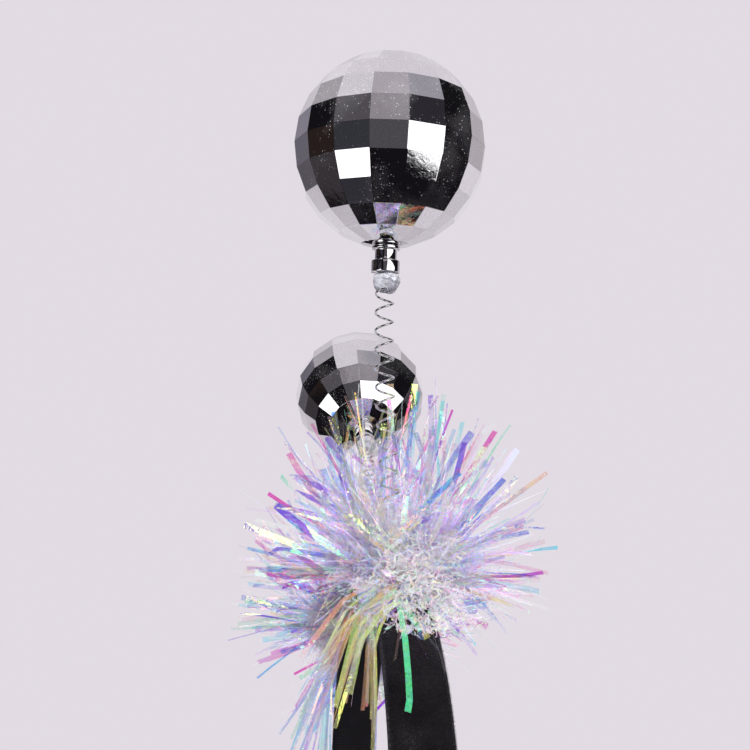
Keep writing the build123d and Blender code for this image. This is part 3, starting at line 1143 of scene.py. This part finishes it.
def panel_mask(tree, direction, azimuth, elevation, half_width, half_height):
    """One inside a rectangular panel and nought outside it, with a narrow soft edge."""
    towards = look(azimuth, elevation)
    across = towards.cross(UP).normalized()
    upward = across.cross(towards)
    depth = math_node(tree, "MAXIMUM", dot(tree, direction, towards), 0.001)
    masks = []
    for axis, half in ((across, half_width), (upward, half_height)):
        edge = tan(radians(half))
        off = math_node(tree, "ABSOLUTE", math_node(tree, "DIVIDE", dot(tree, direction, axis), depth))
        masks.append(step_up(tree, off, edge * 1.04, edge * 0.96))
    return math_node(tree, "MULTIPLY", *masks)


def make_world():
    """Pale paper all round; polished surfaces also see a dark room and its soft boxes."""
    world = bpy.data.worlds.new("studio")
    bpy.context.scene.world = world
    world.use_nodes = True
    world.cycles.sampling_method = "NONE"
    tree = world.node_tree
    tree.nodes.clear()
    direction = add(tree, "TexCoord").outputs["Generated"]
    facing = dot(tree, direction, look(*ROOM_FACING))
    near = step_up(tree, facing, *(cos(radians(edge)) for edge in ROOM_EDGE))
    height = dot(tree, direction, (0, 0, 1))
    low = step_up(tree, height, *(sin(radians(edge)) for edge in CEILING_EDGE))
    dark = math_node(tree, "MULTIPLY", near, low)
    patches = add(tree, "TexNoise", {"Vector": direction, "Scale": 2.2, "Detail": 2.0})
    paper = mix_colour(tree, step_up(tree, patches.outputs["Fac"], 0.35, 0.62), *PAPER_MIRRORED)
    seen = mix_colour(tree, dark, paper, DARK_ROOM)
    for azimuth, elevation, half_width, half_height, light in PANELS:
        mask = panel_mask(tree, direction, azimuth, elevation, half_width, half_height)
        seen = mix_colour(tree, mask, seen, light)
    polished = add(tree, "LightPath").outputs["Is Glossy Ray"]
    colour = mix_colour(tree, polished, PAPER, seen)
    background = add(tree, "Background", {"Color": colour, "Strength": 1.0})
    add(tree, "OutputWorld", {"Surface": background.outputs[0]})


def make_light(name, azimuth, elevation, power, floor):
    """A soft box aimed at the object; polished surfaces don't mirror it, nor does it light the floor."""
    lamp = bpy.data.lights.new(name, "AREA")
    lamp.shape = "SQUARE"
    lamp.size = LAMP_SIZE
    lamp.energy = power
    made = bpy.data.objects.new(name, lamp)
    target = Vector((0, 0, 0.09))
    made.location = target + look(azimuth, elevation) * LAMP_DISTANCE
    made.rotation_euler = (target - made.location).to_track_quat("-Z", "Y").to_euler()
    made.visible_glossy = False
    bpy.context.scene.collection.objects.link(made)
    spared = bpy.data.collections.new(f"{name}_spared")
    spared.objects.link(floor)
    spared.collection_objects[0].light_linking.link_state = "EXCLUDE"
    made.light_linking.receiver_collection = spared


def make_camera():
    yaw, pitch, roll = (radians(v) for v in (CAMERA_YAW, CAMERA_PITCH, CAMERA_ROLL))
    forward = Vector((-cos(pitch) * cos(yaw), cos(pitch) * sin(yaw),
                      sin(pitch)))
    level = forward.cross(UP).normalized()
    upward = level.cross(forward)
    right = level * cos(roll) + upward * sin(roll)
    up = upward * cos(roll) - level * sin(roll)
    camera = bpy.data.objects.new("camera", bpy.data.cameras.new("camera"))
    camera.data.lens = CAMERA_LENS
    camera.data.clip_start = 0.01
    turned = Matrix((right, up, -forward)).transposed().to_4x4()
    turned.translation = CAMERA_AT
    camera.matrix_world = turned
    bpy.context.scene.collection.objects.link(camera)
    bpy.context.scene.camera = camera


def make_floor():
    """A broad pale floor just under the band's tips."""
    level = cad_box[0].z - 2 * MM
    corners = [(x * FLOOR_REACH, y * FLOOR_REACH, level)
               for x, y in ((-1, -1), (1, -1), (1, 1), (-1, 1))]
    floor = new_piece("floor", corners, [(0, 1, 2, 3)], floor_material())
    floor.visible_glossy = False
    return floor


# ======== build ========

make_camera()
make_world()
floor = make_floor()
for lamp in LAMPS:
    make_light(*lamp, floor)
bpy.context.scene.view_settings.view_transform = "Standard"

make_hoop(random.Random(5))
for side in SIDES:
    make_base_glue(side)
    make_garland_ring(side)
    make_spring(side)
    make_top_glue(side)
    make_neck(side)
    make_half_shell(side, "lower")
    make_half_shell(side, "upper")
make_tinsel("left", 11)
make_tinsel("right", 23)
